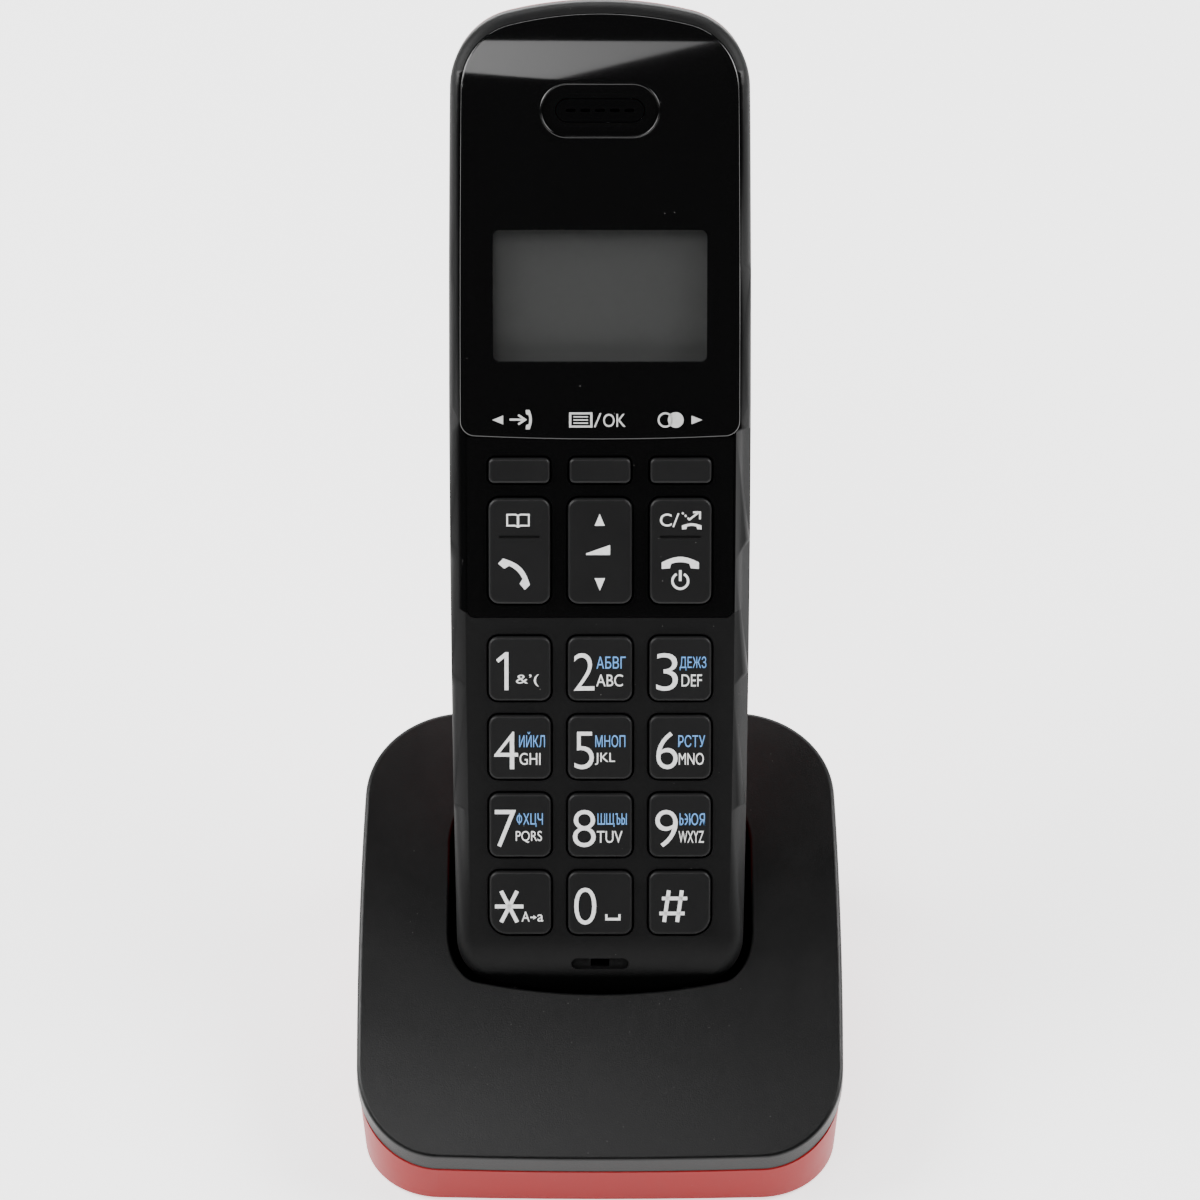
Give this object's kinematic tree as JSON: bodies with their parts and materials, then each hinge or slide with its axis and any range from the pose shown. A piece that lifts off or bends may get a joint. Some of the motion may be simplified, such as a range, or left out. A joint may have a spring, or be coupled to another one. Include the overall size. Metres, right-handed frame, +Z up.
{
  "type": "cordless telephone with charging base",
  "caption": "Cordless telephone: a slim handset with a window, function rockers and a number keypad, standing in a low wedge-shaped charging base.",
  "frame": {"origin": "on the desk, under the middle of the whole telephone's width and depth", "axes": "+X to the right as seen from the front, +Y to the rear, the way the handset leans, +Z up"},
  "size_m": [0.0785, 0.1303, 0.1508],
  "materials": {
    "satin_black_plastic": "satin, finely grained",
    "red_plastic": "smooth semi-gloss",
    "matte_black_plastic": "matt, finely grained",
    "gloss_black_plastic": "polished",
    "matte_key_plastic": "matt with printed white and blue legends",
    "gloss_key_plastic": "polished with printed white legends",
    "window_plastic": "clear",
    "display_glass": "dark grey liquid-crystal panel",
    "mat_rubber": "matt silicone",
    "foot_rubber": "matt",
    "circuit_board": "green solder mask",
    "jack_plastic": "moulded black",
    "spring_metal": "nickel plated",
    "screw_steel": "zinc plated",
    "speaker_metal": "plain",
    "battery_wrap": "plain green sleeve"
  },
  "bodies": {
    "base": {"base_cover": "satin_black_plastic", "base_housing": "red_plastic", "base_feet": "foot_rubber", "base_screws": "screw_steel", "base_circuit_board": "circuit_board", "line_jack": "jack_plastic", "power_jack": "jack_plastic", "locator_switch": "jack_plastic", "base_antennas": "spring_metal"},
    "handset": {"front_case": "matte_black_plastic", "display_faceplate": "gloss_black_plastic", "display_window": "window_plastic", "function_panel": "gloss_black_plastic", "rear_case": "red_plastic", "keypad_mat": "mat_rubber", "handset_circuit_board": "circuit_board", "lcd_panel": "display_glass", "lcd_backlight": "jack_plastic", "earpiece_grille": "matte_black_plastic", "earpiece_speaker": "speaker_metal", "microphone": "speaker_metal", "microphone_boot": "mat_rubber", "ringer_speaker": "speaker_metal", "battery_left": "battery_wrap", "battery_right": "battery_wrap", "battery_contacts": "spring_metal", "handset_screws": "screw_steel", "charge_pads": "spring_metal"},
    "battery_cover": {"battery_cover": "red_plastic"},
    "locator_button": {"locator_button": "satin_black_plastic"},
    "charge_terminal_left": {"charge_terminal_left": "spring_metal"},
    "charge_terminal_right": {"charge_terminal_right": "spring_metal"},
    "key_1": {"key_1": "matte_key_plastic"},
    "key_2": {"key_2": "matte_key_plastic"},
    "key_3": {"key_3": "matte_key_plastic"},
    "key_4": {"key_4": "matte_key_plastic"},
    "key_5": {"key_5": "matte_key_plastic"},
    "key_6": {"key_6": "matte_key_plastic"},
    "key_7": {"key_7": "matte_key_plastic"},
    "key_8": {"key_8": "matte_key_plastic"},
    "key_9": {"key_9": "matte_key_plastic"},
    "key_star": {"key_star": "matte_key_plastic"},
    "key_0": {"key_0": "matte_key_plastic"},
    "key_hash": {"key_hash": "matte_key_plastic"},
    "soft_key_left": {"soft_key_left": "gloss_key_plastic"},
    "soft_key_middle": {"soft_key_middle": "gloss_key_plastic"},
    "soft_key_right": {"soft_key_right": "gloss_key_plastic"},
    "talk_rocker": {"talk_rocker": "gloss_key_plastic"},
    "volume_rocker": {"volume_rocker": "gloss_key_plastic"},
    "hangup_rocker": {"hangup_rocker": "gloss_key_plastic"}
  },
  "joints": [
    {"name": "handset_lift", "type": "slide", "parent": "base", "child": "handset", "axis": [0, 0.5736, 0.8192], "range_m": [0, 0.06]},
    {"name": "key_1_press", "type": "slide", "parent": "handset", "child": "key_1", "axis": [0, 0.8192, -0.5736], "range_m": [0, 0.0005], "stiffness_N_per_m": 400, "springref_m": -0.0003},
    {"name": "key_2_press", "type": "slide", "parent": "handset", "child": "key_2", "axis": [0, 0.8192, -0.5736], "range_m": [0, 0.0005], "stiffness_N_per_m": 400, "springref_m": -0.0003},
    {"name": "key_3_press", "type": "slide", "parent": "handset", "child": "key_3", "axis": [0, 0.8192, -0.5736], "range_m": [0, 0.0005], "stiffness_N_per_m": 400, "springref_m": -0.0003},
    {"name": "key_4_press", "type": "slide", "parent": "handset", "child": "key_4", "axis": [0, 0.8192, -0.5736], "range_m": [0, 0.0005], "stiffness_N_per_m": 400, "springref_m": -0.0003},
    {"name": "key_5_press", "type": "slide", "parent": "handset", "child": "key_5", "axis": [0, 0.8192, -0.5736], "range_m": [0, 0.0005], "stiffness_N_per_m": 400, "springref_m": -0.0003},
    {"name": "key_6_press", "type": "slide", "parent": "handset", "child": "key_6", "axis": [0, 0.8192, -0.5736], "range_m": [0, 0.0005], "stiffness_N_per_m": 400, "springref_m": -0.0003},
    {"name": "key_7_press", "type": "slide", "parent": "handset", "child": "key_7", "axis": [0, 0.8192, -0.5736], "range_m": [0, 0.0005], "stiffness_N_per_m": 400, "springref_m": -0.0003},
    {"name": "key_8_press", "type": "slide", "parent": "handset", "child": "key_8", "axis": [0, 0.8192, -0.5736], "range_m": [0, 0.0005], "stiffness_N_per_m": 400, "springref_m": -0.0003},
    {"name": "key_9_press", "type": "slide", "parent": "handset", "child": "key_9", "axis": [0, 0.8192, -0.5736], "range_m": [0, 0.0005], "stiffness_N_per_m": 400, "springref_m": -0.0003},
    {"name": "key_star_press", "type": "slide", "parent": "handset", "child": "key_star", "axis": [0, 0.8192, -0.5736], "range_m": [0, 0.0005], "stiffness_N_per_m": 400, "springref_m": -0.0003},
    {"name": "key_0_press", "type": "slide", "parent": "handset", "child": "key_0", "axis": [0, 0.8192, -0.5736], "range_m": [0, 0.0005], "stiffness_N_per_m": 400, "springref_m": -0.0003},
    {"name": "key_hash_press", "type": "slide", "parent": "handset", "child": "key_hash", "axis": [0, 0.8192, -0.5736], "range_m": [0, 0.0005], "stiffness_N_per_m": 400, "springref_m": -0.0003},
    {"name": "soft_key_left_press", "type": "slide", "parent": "handset", "child": "soft_key_left", "axis": [0, 0.8192, -0.5736], "range_m": [0, 0.0005], "stiffness_N_per_m": 400, "springref_m": -0.0003},
    {"name": "soft_key_middle_press", "type": "slide", "parent": "handset", "child": "soft_key_middle", "axis": [0, 0.8192, -0.5736], "range_m": [0, 0.0005], "stiffness_N_per_m": 400, "springref_m": -0.0003},
    {"name": "soft_key_right_press", "type": "slide", "parent": "handset", "child": "soft_key_right", "axis": [0, 0.8192, -0.5736], "range_m": [0, 0.0005], "stiffness_N_per_m": 400, "springref_m": -0.0003},
    {"name": "talk_rocker_tilt", "type": "hinge", "parent": "handset", "child": "talk_rocker", "pos_m": [-0.01283, 0.00258, 0.0822], "axis": [1, 0, 0], "range_deg": [-2.4, 2.4], "stiffness_Nm_per_rad": 0.05},
    {"name": "volume_rocker_tilt", "type": "hinge", "parent": "handset", "child": "volume_rocker", "pos_m": [0, 0.00258, 0.0822], "axis": [1, 0, 0], "range_deg": [-2.4, 2.4], "stiffness_Nm_per_rad": 0.05},
    {"name": "hangup_rocker_tilt", "type": "hinge", "parent": "handset", "child": "hangup_rocker", "pos_m": [0.01283, 0.00258, 0.0822], "axis": [1, 0, 0], "range_deg": [-2.4, 2.4], "stiffness_Nm_per_rad": 0.05},
    {"name": "battery_cover_slide", "type": "slide", "parent": "handset", "child": "battery_cover", "axis": [0, -0.5925, -0.8056], "range_m": [0, 0.0055]},
    {"name": "locator_button_press", "type": "slide", "parent": "base", "child": "locator_button", "axis": [0, 0.171, -0.9853], "range_m": [0, 0.0007], "stiffness_N_per_m": 500, "springref_m": -0.0003},
    {"name": "charge_terminal_left_spring", "type": "slide", "parent": "base", "child": "charge_terminal_left", "axis": [0, 0.5736, 0.8192], "range_m": [-0.0012, 0], "stiffness_N_per_m": 200, "springref_m": 0.0006},
    {"name": "charge_terminal_right_spring", "type": "slide", "parent": "base", "child": "charge_terminal_right", "axis": [0, 0.5736, 0.8192], "range_m": [-0.0012, 0], "stiffness_N_per_m": 200, "springref_m": 0.0006}
  ]
}
